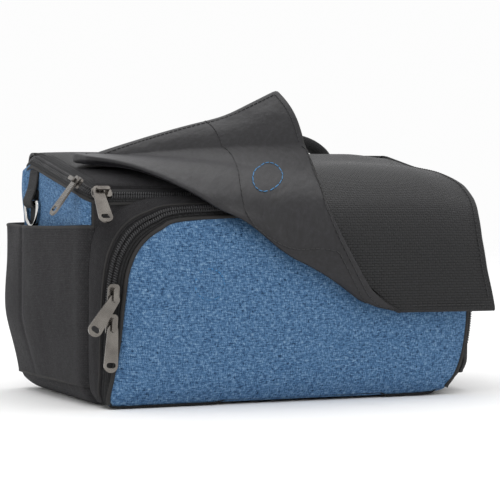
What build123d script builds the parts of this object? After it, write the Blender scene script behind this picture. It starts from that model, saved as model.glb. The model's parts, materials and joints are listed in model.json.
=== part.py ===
"""Padded camera shoulder bag with a magnetic flap, a zipped lid and a zipped front pocket.

Millimetres, +Z up. The origin is on the floor under the middle of the main compartment,
the front faces -Y and the wearer's side faces +Y.
"""
import os

from build123d import *

os.makedirs("parts", exist_ok=True)

# ---- driving dimensions ---------------------------------------------------------------
half_width = 148.0          # main compartment, half its outside width
back_y = 80.0               # outside of the back panel
front_y = -72.0             # outside of the front panel, behind the pocket
corner_r = 14.0             # upright corners, seen from above
base_r = 12.0               # rounding under the bag
fabric = 2.0                # outer shell cloth with its backing
foam = 5.0                  # closed-cell foam board
lining = 1.5                # inner lining cloth
wall = fabric + foam + lining
base_seam_z = 14.0          # where the base cloth meets the sides
side_seam = 16.0            # how far front and back panels wrap round the corners
tall = 260.0                # taller than anything that is cut

# rim of the walls, in the YZ plane: (y, z) corners of the line that the zip follows
rim = [(-110, 118.5), (-62, 145), (54, 167), (110, 142.7)]
rim_rounding = 18.0

# padded lid, in the YZ plane: its top, and the line it turns about
lid_top = [(71, 168), (60, 173.5), (47, 175.5), (0, 170), (-31, 164.5), (-50, 157.5), (-63, 149.5)]
lid_inset = 9.0             # lid edge, inside the outline of the compartment
coil_inset = 3.0            # middle of the lid's zip coil
coil_gap = 1.2              # between the two halves of a zip

# flap, in the YZ plane: the face that lies on the bag
flap_under = [(66, 174.6), (47, 177.4), (0, 173.4), (-31, 169.2), (-52, 162), (-69, 153),
              (-84, 143.5), (-97, 131), (-104.5, 114), (-107, 92), (-107.5, 60)]
flap_left, flap_right = -146.0, 150.0
flap_layer = 1.6            # outer cloth, and again the lining
fold_start = Vector(-139, -10, 172)     # where the turned-back corner leaves the left edge
fold_middle = Vector(-69, -62, 157)     # where its crease crosses the front top edge
fold_end = Vector(85, -108, 60)         # where the crease meets the hem
roll_end = Vector(16, -74, 166)         # where the turned-back cloth passes the front top edge
corner_root = [Vector(-132, -8, 182), Vector(14, -66, 169)]     # line it is lifted about
corner_tip = Vector(12, -18, 216)       # the lifted corner of the flap

magnet_r, magnet_thick = 9.0, 1.6



def save(part, name):
    """Label one finished piece and write it as its own STEP file."""
    part.label = name
    export_step(part, f"parts/{name}.step")


def on_bag(points, x=0.0):
    """(y, z) pairs as points of the plane at x."""
    return [(x, y, z) for y, z in points]


# ---- main compartment -----------------------------------------------------------------
def compartment(inset):
    """Solid with the outside of the compartment, moved inwards by inset, up to the rim."""
    depth = back_y - front_y - 2 * inset
    with BuildPart() as block:
        with BuildSketch(Plane.XY.offset(inset)):
            with Locations((0, (back_y + front_y) / 2)):
                RectangleRounded(2 * (half_width - inset), depth, corner_r - inset)
        extrude(amount=tall)
        fillet(block.faces().sort_by(Axis.Z)[0].edges(), max(base_r - inset, 3.0))
        with BuildSketch(Plane.YZ) as above_rim:
            with BuildLine():
                bottom = FilletPolyline(*rim, radius=rim_rounding)
                Line(bottom @ 1, (110, 2 * tall))
                Line((110, 2 * tall), (-110, 2 * tall))
                Line((-110, 2 * tall), bottom @ 0)
            make_face()
        extrude(amount=half_width + 10, both=True, mode=Mode.SUBTRACT)
    return block.part


outline = compartment(0)
foam_outline = compartment(fabric)
lining_outline = compartment(fabric + foam)
inside_outline = compartment(wall)
side_y = (front_y + side_seam, back_y - side_seam)
seam_z = {"fabric": base_seam_z, "foam": fabric + foam}


def wall_zone(where, z_low):
    """Box that holds one wall of the compartment, above z_low."""
    if where == "base":
        return Box(400, 400, z_low + 20, align=(Align.CENTER, Align.CENTER, Align.MAX),
                   mode=Mode.PRIVATE).moved(Location((0, 0, z_low)))
    spans = {
        "left": ((-200, 0), side_y),
        "right": ((0, 200), side_y),
        "front": ((-200, 200), (-200, side_y[0])),
        "back": ((-200, 200), (side_y[1], 200)),
    }
    (x0, x1), (y0, y1) = spans[where]
    box = Box(x1 - x0, y1 - y0, tall, align=(Align.MIN, Align.MIN, Align.MIN), mode=Mode.PRIVATE)
    return box.moved(Location((x0, y0, z_low)))


def wall_layer(where, outer, inner, z_low):
    """One wall of one layer: cloth or foam."""
    with BuildPart() as layer:
        add(outer)
        add(inner, mode=Mode.SUBTRACT)
        add(wall_zone(where, z_low), mode=Mode.INTERSECT)
    return layer.part


panel_names = {"base": "base_panel", "left": "side_panel_left", "right": "side_panel_right",
               "front": "front_panel", "back": "back_panel"}
for where, node in panel_names.items():
    save(wall_layer(where, outline, foam_outline, seam_z["fabric"]), node)

foam_names = {"base": "foam_base", "left": "foam_left", "right": "foam_right",
              "front": "foam_front", "back": "foam_back"}
for where, node in foam_names.items():
    save(wall_layer(where, foam_outline, lining_outline, seam_z["foam"]), node)

with BuildPart() as liner:
    add(lining_outline)
    add(inside_outline, mode=Mode.SUBTRACT)
save(liner.part, "liner")

# ---- dividers: padded boards held to the lining by hook-and-loop ------------------------
divider_thick, divider_top, divider_x = 7.0, 134.0, 46.0
divider_foot = wall + 3.4
for side, node in ((-1, "divider_left"), (1, "divider_right")):
    with BuildPart() as divider:
        with BuildSketch(Plane.XY.offset(divider_foot)):
            with Locations((side * divider_x, (back_y + front_y) / 2)):
                RectangleRounded(divider_thick, back_y - front_y - 2 * wall - 0.8, 2.5)
        extrude(amount=divider_top - divider_foot)
        fillet(divider.faces().sort_by(Axis.Z)[-1].edges(), 2.0)
    save(divider.part, node)

# ---- zipped front pocket ----------------------------------------------------------------
gusset_back = dict(half_low=148, half_high=142, low=3, high=140, r_low=20, r_high=34)
gusset_front = dict(half_low=148, half_high=140, low=3, high=136, r_low=20, r_high=42)
gusset_wall = 2.0
gusset_front_y = -90.0
zip_thick = 2.0
zip_coil = 5.2              # middle of the coil, in from the pocket's edge
zip_band = 11.0             # edge of the pocket's panel, in from the pocket's edge
zip_foot = 26.0             # the zip stops at this height on both sides
panel_crown = [(0.0, 0.0), (2.0, 0.0), (6.0, 3.0), (9.5, 12.0), (11.0, 30.0)]
magnet_at = (76.0, 82.0)    # x and z of the magnets in the pocket and in the flap


def arch(dims, y, inset=0.0):
    """Face of the pocket's outline at depth y: a wide arch with a straight foot."""
    low, high = dims["low"] + inset, dims["high"] - inset
    wide, narrow = dims["half_low"] - inset, dims["half_high"] - inset
    with BuildSketch(Plane.XZ.offset(-y), mode=Mode.PRIVATE) as shape:
        Polygon((-wide, low), (wide, low), (narrow, high), (-narrow, high), align=None)
        corners = shape.vertices().group_by(Axis.Y)
        fillet(corners[0], max(dims["r_low"] - inset, 2))
        fillet(shape.vertices().group_by(Axis.Y)[-1], max(dims["r_high"] - inset, 2))
    return shape.sketch.faces()[0]


def taper(*faces):
    """Solid with flat sides through faces that lie one in front of the other."""
    with BuildPart(mode=Mode.PRIVATE) as body:
        loft(sections=faces, ruled=True)
    return body.part


def band(outer, inner, y_back, y_front):
    """Flat frame that follows the front edge of the pocket, between two insets."""
    with BuildPart(mode=Mode.PRIVATE) as frame:
        add(taper(arch(gusset_front, y_back, outer), arch(gusset_front, y_front, outer)))
        add(taper(arch(gusset_front, y_back + 1, inner), arch(gusset_front, y_front - 1, inner)),
            mode=Mode.SUBTRACT)
    return frame.part


gusset_outside = taper(arch(gusset_back, front_y), arch(gusset_front, gusset_front_y))
gusset_inside = taper(arch(gusset_back, front_y + 1, gusset_wall),
                      arch(gusset_front, gusset_front_y - 1, gusset_wall))
zip_front_y = gusset_front_y - zip_thick
zip_halves = [band(0.6, zip_coil - coil_gap / 2, gusset_front_y, zip_front_y),
              band(zip_coil + coil_gap / 2, zip_band, gusset_front_y, zip_front_y)]
foot_band = band(0.6, zip_band, gusset_front_y, zip_front_y)

with BuildPart() as pocket_gusset:
    add(gusset_outside)
    add(gusset_inside, mode=Mode.SUBTRACT)
save(pocket_gusset.part, "pocket_gusset")

for half, node in zip(zip_halves, ("pocket_zip_outer", "pocket_zip_inner")):
    with BuildPart() as pocket_zip:
        add(half)
        with Locations((0, gusset_front_y, 0)):
            Box(400, 30, 2 * zip_foot, mode=Mode.SUBTRACT)
    save(pocket_zip.part, node)

with BuildPart() as pocket_foot:
    add(foot_band)
    with Locations((0, gusset_front_y, 0)):
        Box(400, 30, 2 * zip_foot, mode=Mode.INTERSECT)
save(pocket_foot.part, "pocket_foot")

crown = taper(*[arch(gusset_front, gusset_front_y - rise, zip_band + inset)
                for rise, inset in panel_crown])
panel_face_y = gusset_front_y - panel_crown[-1][0]
keeper_y = panel_face_y + 2.0
with BuildPart() as pocket_panel:
    add(crown)
    with Locations(Plane.XZ.offset(-keeper_y)):
        with Locations(magnet_at, (-magnet_at[0], magnet_at[1])):
            Cylinder(magnet_r, magnet_thick, align=(Align.CENTER, Align.CENTER, Align.MIN),
                     mode=Mode.SUBTRACT)
save(pocket_panel.part, "pocket_panel")

for side, node in ((-1, "pocket_magnet_left"), (1, "pocket_magnet_right")):
    with BuildPart() as keeper:
        with Locations(Plane.XZ.offset(-keeper_y)):
            with Locations((side * magnet_at[0], magnet_at[1])):
                Cylinder(magnet_r, magnet_thick, align=(Align.CENTER, Align.CENTER, Align.MIN))
    save(keeper.part, node)

# ---- side pockets -----------------------------------------------------------------------
pouch_wall = 1.6
pouch_levels = [(14.0, 3.5), (40.0, 9.5), (85.0, 12.5), (120.5, 12.5)]   # height, bulge


def pouch(levels, inset):
    """Left side pocket as a solid block: flat on the side panel, bulging outwards."""
    x, front, rear = -half_width, side_y[0] + inset, back_y - 8.0 - inset
    with BuildPart(mode=Mode.PRIVATE) as block:
        for z, bulge in levels:
            with BuildSketch(Plane.XY.offset(z)):
                with BuildLine():
                    near = (x - 0.25 * bulge + 0.3 * inset, front)
                    far = (x - 0.5 * bulge + 0.5 * inset, rear)
                    Line((x, front), near)
                    Spline(near, (x - bulge + inset, 10), (x - bulge + inset, rear - 16), far)
                    Polyline(far, (x, rear), (x, front))
                make_face()
        loft()
    return block.part


pouch_outside = pouch(pouch_levels, 0)
pouch_inside = pouch([(16.0, 4.2)] + pouch_levels[1:3] + [(121.5, 12.5)], pouch_wall)
with BuildPart() as side_pocket_left:
    add(pouch_outside)
    add(pouch_inside, mode=Mode.SUBTRACT)
save(side_pocket_left.part, "side_pocket_left")
save(mirror(side_pocket_left.part, about=Plane.YZ), "side_pocket_right")

# ---- webbing tabs and D-rings for a shoulder strap ---------------------------------------
ring_wire, ring_half, ring_bend = 1.5, 14.6, 3.0
webbing, webbing_thick = 22.0, 1.6
tab_y, ring_z, tab_top = 46.0, 137.0, 159.0
ring_x = -half_width - webbing_thick - ring_wire - 0.8
loop_r = ring_wire + 0.4
tab_plane = Plane(origin=(ring_x, tab_y, ring_z), x_dir=(-1, 0, 0), z_dir=(0, 1, 0))
panel_side = half_width + ring_x        # the panel's face, seen from the ring's bar

with BuildPart() as ring_tab_left:
    with BuildSketch(tab_plane):
        Circle(loop_r + webbing_thick)
        with Locations((panel_side, 0)):
            Rectangle(2 * webbing_thick + 0.3, tab_top - ring_z, align=(Align.MIN, Align.MIN))
            Rectangle(webbing_thick, 36, align=(Align.MIN, Align.MAX))
        Circle(loop_r, mode=Mode.SUBTRACT)
    extrude(amount=webbing / 2, both=True)
save(ring_tab_left.part, "ring_tab_left")
save(mirror(ring_tab_left.part, about=Plane.YZ), "ring_tab_right")

ring_plane = Plane(origin=(ring_x, tab_y, ring_z), x_dir=(0, 1, 0), z_dir=(1, 0, 0))
with BuildPart() as d_ring_left:
    with BuildLine(ring_plane) as ring_path:
        flat = ring_half - ring_bend
        Line((-flat, 0), (flat, 0))
        JernArc((flat, 0), (1, 0), ring_bend, -90)
        ThreePointArc((ring_half, -ring_bend), (0, -ring_bend - ring_half),
                      (-ring_half, -ring_bend))
        JernArc((-flat, 0), (-1, 0), ring_bend, 90)
    with BuildSketch(Plane(origin=(ring_x, tab_y, ring_z), z_dir=(0, 1, 0))):
        Circle(ring_wire)
    sweep(path=ring_path.wires()[0])
save(d_ring_left.part, "d_ring_left")
save(mirror(d_ring_left.part, about=Plane.YZ), "d_ring_right")

# ---- lid zip: a lower half on the walls, an upper half on the lid -------------------------
def rim_line(height):
    """The line of the rim in the YZ plane, moved up by height; call it in a BuildLine."""
    return FilletPolyline(*[(y, z + height) for y, z in rim], radius=rim_rounding)


def plan(inset):
    """Upright block with the compartment's plan, moved inwards by inset."""
    with BuildPart(mode=Mode.PRIVATE) as block:
        with BuildSketch():
            with Locations((0, (back_y + front_y) / 2)):
                RectangleRounded(2 * (half_width - inset), back_y - front_y - 2 * inset,
                                 max(corner_r - inset, 4))
        extrude(amount=tall)
    return block.part


def rim_layer(low, high):
    """Layer across the bag that follows the rim, from low to high above it."""
    with BuildPart(mode=Mode.PRIVATE) as layer:
        with BuildSketch(Plane.YZ):
            with BuildLine():
                lower = rim_line(low)
                upper = rim_line(high)
                Line(lower @ 0, upper @ 0)
                Line(lower @ 1, upper @ 1)
            make_face()
        extrude(amount=half_width + 5, both=True)
    return layer.part


def zip_half(outer, inner, low, high):
    """Half of the lid's zip: it runs round three sides and stops short of the back."""
    with BuildPart(mode=Mode.PRIVATE) as half:
        add(plan(outer))
        add(plan(inner), mode=Mode.SUBTRACT)
        add(rim_layer(low, high), mode=Mode.INTERSECT)
        with Locations((0, 166, tall / 2)):
            Box(400, 200, tall + 2, mode=Mode.SUBTRACT)
    return half.part


save(zip_half(0, coil_inset - coil_gap / 2, 0, 2.6), "lid_zip_lower")
save(zip_half(coil_inset + coil_gap / 2, lid_inset, 1.0, 4.0), "lid_zip_upper")

with BuildPart() as hinge_strip:
    add(rim_layer(0, 2.6))
    with Locations(((0, 75.75, 150))):
        Box(250, 8.5, 60, mode=Mode.INTERSECT)
save(hinge_strip.part, "hinge_strip")

# ---- lid --------------------------------------------------------------------------------
lid_layers = {"lid_lining": (1.0, 2.5), "lid_foam": (2.5, None), "lid_panel": (None, None)}


def under_lid_top(drop):
    """Block under the lid's top, lowered by drop."""
    with BuildPart(mode=Mode.PRIVATE) as block:
        with BuildSketch(Plane.YZ):
            with BuildLine():
                top = Spline(*[(y, z - drop) for y, z in lid_top])
                Polyline(top @ 0, (71, 60), (-63, 60), top @ 1)
            make_face()
        extrude(amount=half_width, both=True)
    return block.part


lid_block = under_lid_top(0) & plan(lid_inset)
above_lining = rim_layer(2.5, 60)
with BuildPart() as lid_lining:
    add(lid_block)
    add(rim_layer(1.0, 2.5), mode=Mode.INTERSECT)
with BuildPart() as lid_foam:
    add(under_lid_top(2.0) & plan(lid_inset))
    add(above_lining, mode=Mode.INTERSECT)
with BuildPart() as lid_panel:
    add(lid_block)
    add(above_lining, mode=Mode.INTERSECT)
    add(lid_foam.part, mode=Mode.SUBTRACT)
save(lid_lining.part, "lid_lining")
save(lid_foam.part, "lid_foam")
save(lid_panel.part, "lid_panel")

# ---- flap -------------------------------------------------------------------------------
fold_normal = (fold_middle - fold_start).cross(fold_end - fold_start).normalized()
if fold_normal.dot(Vector(150, 40, 175) - fold_start) < 0:
    fold_normal = -fold_normal              # it points to the part that stays down
fold_plane = Plane(origin=fold_start, z_dir=fold_normal)


def moved_out(distance):
    """The flap's underside line, moved away from the bag by distance."""
    with BuildLine(mode=Mode.PRIVATE):
        line = Spline(*flap_under, mode=Mode.PRIVATE)
    points = []
    for i in range(len(flap_under)):
        step = i / (len(flap_under) - 1)
        tangent = line % step
        points.append(line @ step + Vector(tangent.Y, -tangent.X) * distance)
    return [(p.X, p.Y) for p in points]


def flap_slab(near, far, x_min, x_max):
    """The flap's curved sheet between two distances from its underside."""
    with BuildPart(mode=Mode.PRIVATE) as slab:
        with BuildSketch(Plane.YZ.offset(x_min)):
            with BuildLine():
                inner = Spline(*moved_out(near))
                outer = Spline(*moved_out(far))
                Line(inner @ 0, outer @ 0)
                Line(inner @ 1, outer @ 1)
            make_face()
        extrude(amount=x_max - x_min)
    return slab.part


magnet_y = flap_under[-1][0] - flap_layer - magnet_thick / 2 + 0.3
with BuildPart() as flap_magnet_right:
    with Locations(Plane.XZ.offset(-magnet_y)):
        with Locations(magnet_at):
            Cylinder(magnet_r, magnet_thick)
save(flap_magnet_right.part, "flap_magnet_right")

for node, near in (("flap_lining", 0), ("flap_cloth", flap_layer)):
    with BuildPart() as flap_sheet:
        add(flap_slab(near, near + flap_layer, flap_left, flap_right))
        split(bisect_by=fold_plane, keep=Keep.TOP)
        add(flap_magnet_right.part, mode=Mode.SUBTRACT)
    save(flap_sheet.part, node)

with BuildPart() as flap_roll:
    add(flap_slab(2 * flap_layer + 0.8, 2 * flap_layer + 3.2, flap_left, flap_right))
    split(bisect_by=fold_plane, keep=Keep.TOP)
    across = roll_end - fold_start
    split(bisect_by=Plane(origin=fold_start, z_dir=(across.Y, -across.X, 0)), keep=Keep.TOP)
    split(bisect_by=Plane(origin=fold_end, z_dir=Vector(0, 1, 0).cross(fold_end - roll_end)),
          keep=Keep.TOP)
save(flap_roll.part, "flap_roll")

corner_plane = Plane(origin=corner_root[0], x_dir=corner_root[1] - corner_root[0],
                     z_dir=(corner_root[1] - corner_root[0]).cross(corner_tip - corner_root[0]))
corner_points = [corner_plane.to_local_coords(p) for p in (*corner_root, corner_tip)]
corner_magnet = corner_points[1] * 0.42 + corner_points[2] * 0.32 + corner_points[0] * 0.26
corner_thick = 2 * flap_layer
with BuildPart() as flap_magnet_left:
    with Locations(corner_plane.offset(0.8)):
        with Locations((corner_magnet.X, corner_magnet.Y)):
            Cylinder(magnet_r, magnet_thick, align=(Align.CENTER, Align.CENTER, Align.MIN))
save(flap_magnet_left.part, "flap_magnet_left")

with BuildPart() as flap_corner:
    with BuildSketch(corner_plane):
        Polygon(*[(p.X, p.Y) for p in corner_points], align=None)
        fillet(vertices().sort_by(Axis.Y)[-1], 4)
    extrude(amount=corner_thick)
    add(flap_magnet_left.part, mode=Mode.SUBTRACT)
save(flap_corner.part, "flap_corner")

with BuildPart() as flap_root:
    with BuildSketch(Plane.YZ.offset(flap_left + 12)):
        Polygon((71, 168.1), (68.3, 170.1), (68.3, 178), (70.4, 177), align=None)
    extrude(amount=flap_right - flap_left - 24)
save(flap_root.part, "flap_root")

# ---- carrying handle on the back panel ----------------------------------------------------
handle_y, handle_foot_z = 86.0, 158.0
handle_line = [(-97, handle_foot_z), (-93, 171), (-70, 180), (-20, 188), (30, 190.5), (76, 184),
               (101, 173), (106, handle_foot_z)]
handle_bends = [8, 30, 90, 110, 60, 9]
with BuildPart() as handle:
    with BuildLine(Plane.XZ.offset(-handle_y)) as handle_path:
        FilletPolyline(*handle_line, radius=handle_bends)
    with BuildSketch(Plane(origin=handle_path.line @ 0, x_dir=(0, 1, 0),
                           z_dir=handle_path.line % 0)):
        RectangleRounded(9, 11, 4)
    sweep(path=handle_path.wires()[0])
save(handle.part, "handle")

for x, node in ((handle_line[0][0], "handle_tab_left"), (handle_line[-1][0], "handle_tab_right")):
    with BuildPart() as handle_tab:
        with Locations((x, back_y + webbing_thick / 2, handle_foot_z - 23)):
            Box(webbing, webbing_thick, 40)
        with Locations((x, back_y + 2.6, handle_foot_z - 10.5)):
            Box(webbing, 5.2, 14)
        fillet(handle_tab.edges().filter_by(Axis.Y).group_by(Axis.Z)[0], 2)
    save(handle_tab.part, node)

# ---- zip sliders and their pulls ----------------------------------------------------------
slider_width, slider_length, slider_plate = 8.0, 14.0, 1.8
leg_offset, leg_r = 3.2, 0.9
roof_low, roof_high = 5.2, 6.4
pull_length, pull_thick, pull_low = 32.0, 1.4, 2.9
pull_top_r, pull_end_r, pull_eye_r = 3.6, 4.9, 1.8


def zip_slider():
    """Slider seen from above: it travels along Y, and its pull hangs on the leg at -Y."""
    with BuildPart(mode=Mode.PRIVATE) as body:
        with BuildSketch():
            RectangleRounded(slider_width, slider_length, 2.6)
        extrude(amount=slider_plate)
        with Locations((0, -leg_offset, slider_plate)):
            Cylinder(leg_r, roof_low - slider_plate, align=(Align.CENTER, Align.CENTER, Align.MIN))
        with Locations((0, leg_offset, slider_plate)):
            Box(2.4, 1.8, roof_low - slider_plate, align=(Align.CENTER, Align.CENTER, Align.MIN))
        with BuildSketch(Plane.XY.offset(roof_low)):
            SlotOverall(2 * leg_offset + 3.0, 3.0, rotation=90)
        extrude(amount=roof_high - roof_low)
    return body.part


def zip_pull(angle):
    """Pull on the slider's leg, turned by angle from hanging along -Y."""
    reach = pull_length - pull_top_r - pull_end_r
    with BuildPart(mode=Mode.PRIVATE) as body:
        with BuildSketch(Plane.XY.offset(pull_low)):
            Circle(pull_top_r)
            with Locations((0, -reach)):
                Circle(pull_end_r)
            make_hull()
            Circle(pull_eye_r, mode=Mode.SUBTRACT)
            with Locations((0, -reach)):
                SlotOverall(6.4, 3.6, mode=Mode.SUBTRACT)
        extrude(amount=pull_thick)
    turned = body.part.moved(Location((0, 0, 0), (0, 0, angle)))
    return turned.moved(Location((0, -leg_offset, 0)))


def slider_frame(point, travel, normal, lift):
    """Plane on a zip: Y along its travel, Z away from the bag."""
    return Plane(origin=point + normal * lift, x_dir=travel.cross(normal), z_dir=normal)


side_travel = Vector(0, rim[2][0] - rim[1][0], rim[2][1] - rim[1][1]).normalized()
side_hang = Vector(-0.553, 0, -0.833)
side_normal = side_hang.cross(side_travel).normalized()
if side_normal.X > 0:
    side_normal = -side_normal
rim_slope = (rim[2][1] - rim[1][1]) / (rim[2][0] - rim[1][0])
side_point = Vector(-half_width, -51, rim[1][1] + 11 * rim_slope + 2.6)
front_slope = (rim[1][1] - rim[0][1]) / (rim[1][0] - rim[0][0])
front_point = Vector(-139.5, front_y, rim[0][1] + (front_y - rim[0][0]) * front_slope + 2.6)
pocket_travel = Vector(8, 0, gusset_front["high"] - gusset_front["low"]).normalized()
pocket_edge = Vector(-gusset_front["half_low"], zip_front_y, gusset_front["low"])
pocket_in = Vector(pocket_travel.Z, 0, -pocket_travel.X) * zip_coil

slider_frames = {
    "lid_slider_side": (slider_frame(side_point, side_travel, side_normal, 1.0), -90),
    "lid_slider_front": (slider_frame(front_point, Vector(1, 0, 0),
                                      Vector(0, -0.743, 0.669), 1.0), 90),
    "pocket_slider_upper": (slider_frame(pocket_edge + pocket_in + pocket_travel * 73.5,
                                         pocket_travel, Vector(0, -1, 0), 0.9), -31),
    "pocket_slider_lower": (slider_frame(pocket_edge + pocket_in + pocket_travel * 53.5,
                                         pocket_travel, Vector(0, -1, 0), 0.9), 0),
}
for node, (frame, angle) in slider_frames.items():
    save(zip_slider().moved(frame.location), node)
    save(zip_pull(angle).moved(frame.location), node.replace("slider", "pull"))
    pivot = frame.from_local_coords((0, -leg_offset, 0))
    print(node, "travel", frame.y_dir, "normal", frame.z_dir, "pull pivot", pivot)
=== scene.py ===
import json
import math

import bpy
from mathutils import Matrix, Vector, noise

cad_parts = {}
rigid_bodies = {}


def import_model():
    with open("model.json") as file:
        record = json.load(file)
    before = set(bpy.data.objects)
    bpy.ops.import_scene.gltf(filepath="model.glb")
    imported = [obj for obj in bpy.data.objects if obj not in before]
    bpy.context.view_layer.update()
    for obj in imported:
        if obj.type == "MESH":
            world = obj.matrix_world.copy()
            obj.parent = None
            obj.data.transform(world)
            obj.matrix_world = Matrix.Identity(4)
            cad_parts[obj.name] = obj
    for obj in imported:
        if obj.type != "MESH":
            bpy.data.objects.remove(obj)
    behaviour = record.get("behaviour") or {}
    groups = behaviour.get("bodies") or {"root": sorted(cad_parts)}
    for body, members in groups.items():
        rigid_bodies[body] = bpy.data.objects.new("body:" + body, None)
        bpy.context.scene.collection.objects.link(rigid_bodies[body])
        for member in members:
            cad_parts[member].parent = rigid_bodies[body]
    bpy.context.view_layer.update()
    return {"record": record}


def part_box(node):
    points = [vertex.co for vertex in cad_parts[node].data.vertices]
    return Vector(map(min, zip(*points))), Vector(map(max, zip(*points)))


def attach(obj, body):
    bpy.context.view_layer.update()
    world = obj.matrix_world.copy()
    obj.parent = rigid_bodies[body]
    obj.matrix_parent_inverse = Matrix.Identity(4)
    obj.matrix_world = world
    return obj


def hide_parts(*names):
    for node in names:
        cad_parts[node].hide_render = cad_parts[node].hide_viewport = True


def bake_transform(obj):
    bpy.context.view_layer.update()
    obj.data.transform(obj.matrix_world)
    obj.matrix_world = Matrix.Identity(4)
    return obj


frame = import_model()
bpy.ops.object.select_all(action="DESELECT")
mm = 0.001

# the camera stands low, a little to the left of the bag
camera = {"place": (-0.563, -1.314, 0.142), "turn": -23.2, "tilt": 88.384, "lens": 140.4}
bpy.ops.object.camera_add(location=camera["place"],
                          rotation=(math.radians(camera["tilt"]), 0, math.radians(camera["turn"])))
shotCamera = bpy.context.object
shotCamera.data.lens = camera["lens"]
shotCamera.data.sensor_width = 36
bpy.context.scene.camera = shotCamera
bpy.context.scene.view_settings.view_transform = "Standard"


def linear(hexColour):  # sRGB hex to the linear colour that the shader wants
    parts = [int(hexColour[i:i + 2], 16) / 255 for i in (1, 3, 5)]
    return tuple(c / 12.92 if c <= 0.04045 else ((c + 0.055) / 1.055) ** 2.4 for c in parts) + (1,)


def addNode(tree, kind, settings=None, **links):
    made = tree.nodes.new(kind)
    for key, value in (settings or {}).items():
        if isinstance(key, str) and hasattr(made, key):
            setattr(made, key, value)
        else:
            made.inputs[key].default_value = value
    for key, source in links.items():
        place = int(key[3:]) if key.startswith("in_") else key.replace("_", " ")
        tree.links.new(source, made.inputs[place])
    return made


def newMaterial(name, **sockets):
    made = bpy.data.materials.new(name)
    made.use_nodes = True
    shader = made.node_tree.nodes["Principled BSDF"]
    for key, value in sockets.items():
        shader.inputs[key.replace("_", " ")].default_value = value
    return made, made.node_tree, shader


def ramp(tree, source, stops):  # colour ramp from (place, hex) pairs
    made = addNode(tree, "ShaderNodeValToRGB", Fac=source)
    bar = made.color_ramp
    bar.elements[0].position, bar.elements[0].color = stops[0][0], linear(stops[0][1])
    bar.elements[1].position, bar.elements[1].color = stops[-1][0], linear(stops[-1][1])
    for place, colour in stops[1:-1]:
        bar.elements.new(place).color = linear(colour)
    return made.outputs["Color"]


# cloth finishes: yarn sizes are in millimetres, on UV maps that are in metres
def wovenCloth(name, look):
    made, tree, shader = newMaterial(name, Roughness=look["rough"], Sheen_Weight=look["sheen"],
                                     Sheen_Roughness=0.45, Specular_IOR_Level=look["gloss"])
    shader.inputs["Sheen Tint"].default_value = linear(look["sheenTint"])
    uv = addNode(tree, "ShaderNodeUVMap").outputs["UV"]
    yarn = addNode(tree, "ShaderNodeMapping", {"Scale": (1000, 1000, 1000),
                                               "Rotation": (0, 0, math.radians(look["turn"]))}, Vector=uv)
    wobble = addNode(tree, "ShaderNodeTexNoise", {"Scale": 0.35, "Detail": 2.0}, Vector=yarn.outputs[0])
    bent = addNode(tree, "ShaderNodeVectorMath", {"operation": "MULTIPLY_ADD", 1: (look["slub"],) * 3},
                   in_0=wobble.outputs["Color"], in_2=yarn.outputs[0])
    weave = addNode(tree, "ShaderNodeTexBrick",
                    {"Scale": 1.0, "Brick Width": look["weft"], "Row Height": look["warp"],
                     "Mortar Size": look["warp"] * 0.22, "Mortar Smooth": 1.0, "offset": 0.5,
                     "Color1": (0.72, 0.72, 0.72, 1), "Color2": (1, 1, 1, 1), "Mortar": (0, 0, 0, 1)},
                    Vector=bent.outputs[0])
    streaks = addNode(tree, "ShaderNodeMapping", {"Scale": look["streak"]}, Vector=bent.outputs[0])
    melange = addNode(tree, "ShaderNodeTexNoise", {"Scale": 1.0, "Detail": 3.0, "Roughness": 0.65},
                      Vector=streaks.outputs[0])
    cross = addNode(tree, "ShaderNodeMapping", {"Scale": look["cross"]}, Vector=bent.outputs[0])
    ticks = addNode(tree, "ShaderNodeTexNoise", {"Scale": 1.0, "Detail": 2.0, "Roughness": 0.7},
                    Vector=cross.outputs[0])
    both = addNode(tree, "ShaderNodeMath", {"operation": "MULTIPLY_ADD", 1: 0.45, 2: 0.0},
                   in_0=ticks.outputs["Fac"])
    tone = addNode(tree, "ShaderNodeMath", {"operation": "MULTIPLY_ADD", 1: 0.55},
                   in_0=melange.outputs["Fac"], in_2=both.outputs[0])
    dyed = ramp(tree, tone.outputs[0], look["stops"])
    # painted shade: the black mortar of the weave darkens the grooves between yarns in the base colour, by the
    # grooveShade share
    shade = addNode(tree, "ShaderNodeMix", {"data_type": "RGBA", "blend_type": "MULTIPLY", 0: look["grooveShade"]},
                    in_6=dyed, in_7=weave.outputs["Color"])
    tree.links.new(shade.outputs[2], shader.inputs["Base Color"])
    creases = addNode(tree, "ShaderNodeTexNoise", {"Scale": 0.05, "Detail": 3.0}, Vector=yarn.outputs[0])
    soft = addNode(tree, "ShaderNodeBump", {"Strength": look["slack"], "Distance": 0.004},
                   Height=creases.outputs["Fac"])
    bump = addNode(tree, "ShaderNodeBump", {"Strength": look["relief"], "Distance": look["depth"] * mm},
                   Height=weave.outputs["Fac"], Normal=soft.outputs[0])
    bump.invert = True
    tree.links.new(bump.outputs[0], shader.inputs["Normal"])
    return made


# polyester melange: navy and light blue yarns, matt, with short dark streaks along the weft
blueMelange = wovenCloth("polyesterMelangeBlue", {
    "rough": 0.9, "sheen": 0.12, "sheenTint": "#7FA6CF", "gloss": 0.2, "turn": 0, "slub": 0.35,
    "weft": 1.3, "warp": 0.85, "streak": (0.3, 1.1, 1), "cross": (1.4, 0.35, 1), "grooveShade": 0.45,
    "relief": 0.5, "depth": 0.25, "slack": 0.12,
    "stops": [(0.35, "#14263C"), (0.45, "#40648C"), (0.53, "#577DA4"), (0.63, "#86A6C5")]})
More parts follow.
